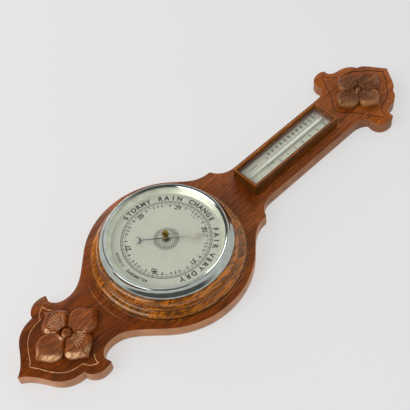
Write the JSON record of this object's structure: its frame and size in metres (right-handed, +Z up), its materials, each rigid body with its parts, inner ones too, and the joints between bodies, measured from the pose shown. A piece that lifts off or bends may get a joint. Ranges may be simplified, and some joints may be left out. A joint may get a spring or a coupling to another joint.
{
  "type": "wall barometer",
  "caption": "Long scrolled oak wall barometer with a round aneroid dial in a turned ring, a boxed thermometer on its neck and a carved flower at each end.",
  "frame": {"origin": "centre of the hanging plate's hole, in the plane of the board's back", "axes": "+Z up, +Y into the wall (the front faces -Y), +X to the right as seen from the front"},
  "size_m": [0.267, 0.0722, 0.8173],
  "materials": {
    "board_oak": "satin varnished oak, reddish brown",
    "carved_oak": "carved and waxed oak",
    "turned_oak": "polished turned oak, golden brown",
    "box_oak": "satin varnished oak",
    "backing_wood": "plain sawn wood",
    "bezel_chrome": "polished",
    "reflector_silver": "polished",
    "window_glass": "clear",
    "dial_silver": "matt silvered, printed",
    "scale_silver": "matt silvered, printed",
    "polished_brass": "polished and lacquered",
    "plain_steel": "plain",
    "blued_steel": "blued steel",
    "case_steel": "grey painted steel",
    "tube_glass": "clear",
    "spirit": "dark liquid column"
  },
  "bodies": {
    "case": {"back_board": "board_oak", "lower_carving": "carved_oak", "upper_carving": "carved_oak", "bezel_surround": "turned_oak", "surround_screws": "polished_brass", "metal_bezel": "bezel_chrome", "dial_glass": "window_glass", "reflector_ring": "reflector_silver", "dial_plate": "dial_silver", "instrument_case": "case_steel", "case_screws": "plain_steel", "movement_plate": "polished_brass", "movement_screws": "plain_steel", "vacuum_capsule": "polished_brass", "spring_bridge": "case_steel", "foot_screws": "plain_steel", "clamp_plate": "plain_steel", "clamp_screws": "plain_steel", "rocker_bracket": "polished_brass", "drive_chain": "plain_steel", "hairspring": "blued_steel", "arbor_bridge": "polished_brass", "arbor_pillars": "polished_brass", "arbor_bridge_screws": "plain_steel", "lower_cock": "polished_brass", "cock_screw": "plain_steel", "dial_pillars": "polished_brass", "pillar_screws": "plain_steel", "box_rail_left": "box_oak", "box_rail_right": "box_oak", "box_rail_top": "box_oak", "box_rail_bottom": "box_oak", "box_screws": "polished_brass", "box_glass": "window_glass", "scale_backing": "backing_wood", "scale_plate": "scale_silver", "scale_screws": "polished_brass", "thermometer_tube": "tube_glass", "spirit_column": "spirit", "tube_clips": "polished_brass", "hanging_plate": "polished_brass", "hanging_screws": "polished_brass"},
    "setter": {"set_knob": "polished_brass", "set_spindle": "polished_brass", "set_washer": "polished_brass", "set_nut": "polished_brass", "set_hand": "polished_brass"},
    "pointer": {"pressure_hand": "blued_steel", "pointer_arbor": "plain_steel", "chain_pulley": "polished_brass"},
    "rocker": {"rocking_shaft": "plain_steel", "crank_arm": "polished_brass", "chain_arm": "polished_brass"},
    "lever": {"main_lever": "polished_brass", "main_spring": "blued_steel", "capsule_post": "plain_steel", "knife_pin": "plain_steel"},
    "link": {"lever_link": "plain_steel"},
    "adjuster": {"adjusting_screw": "polished_brass"}
  },
  "joints": [
    {"name": "knob_turn", "type": "hinge", "parent": "case", "child": "setter", "pos_m": [0, -0.066, -0.45], "axis": [0, 1, 0], "continuous": true},
    {"name": "pointer_turn", "type": "hinge", "parent": "case", "child": "pointer", "pos_m": [0, -0.047, -0.45], "axis": [0, 1, 0], "range_deg": [-250, 110], "stiffness_Nm_per_rad": 0.002, "deforming": ["drive_chain", "hairspring"]},
    {"name": "rocker_turn", "type": "hinge", "parent": "case", "child": "rocker", "pos_m": [0, -0.016, -0.414], "axis": [1, 0, 0], "range_deg": [-17.48, 7.69]},
    {"name": "lever_tilt", "type": "hinge", "parent": "case", "child": "lever", "pos_m": [0, -0.02465, -0.495], "axis": [1, 0, 0], "range_deg": [-0.32, 0.72]},
    {"name": "link_swing", "type": "hinge", "parent": "lever", "child": "link", "pos_m": [-0.0038, -0.0264, -0.4172], "axis": [1, 0, 0], "range_deg": [-0.72, 0.32]},
    {"name": "adjuster_turn", "type": "hinge", "parent": "case", "child": "adjuster", "pos_m": [0, -0.005, -0.495], "axis": [0, 1, 0], "range_deg": [-720, 720]}
  ],
  "couplings": [
    {"joint": "rocker_turn", "follows": "pointer_turn", "ratio": 0.069231},
    {"joint": "lever_tilt", "follows": "pointer_turn", "ratio": -0.0028475},
    {"joint": "link_swing", "follows": "pointer_turn", "ratio": 0.0028475}
  ]
}
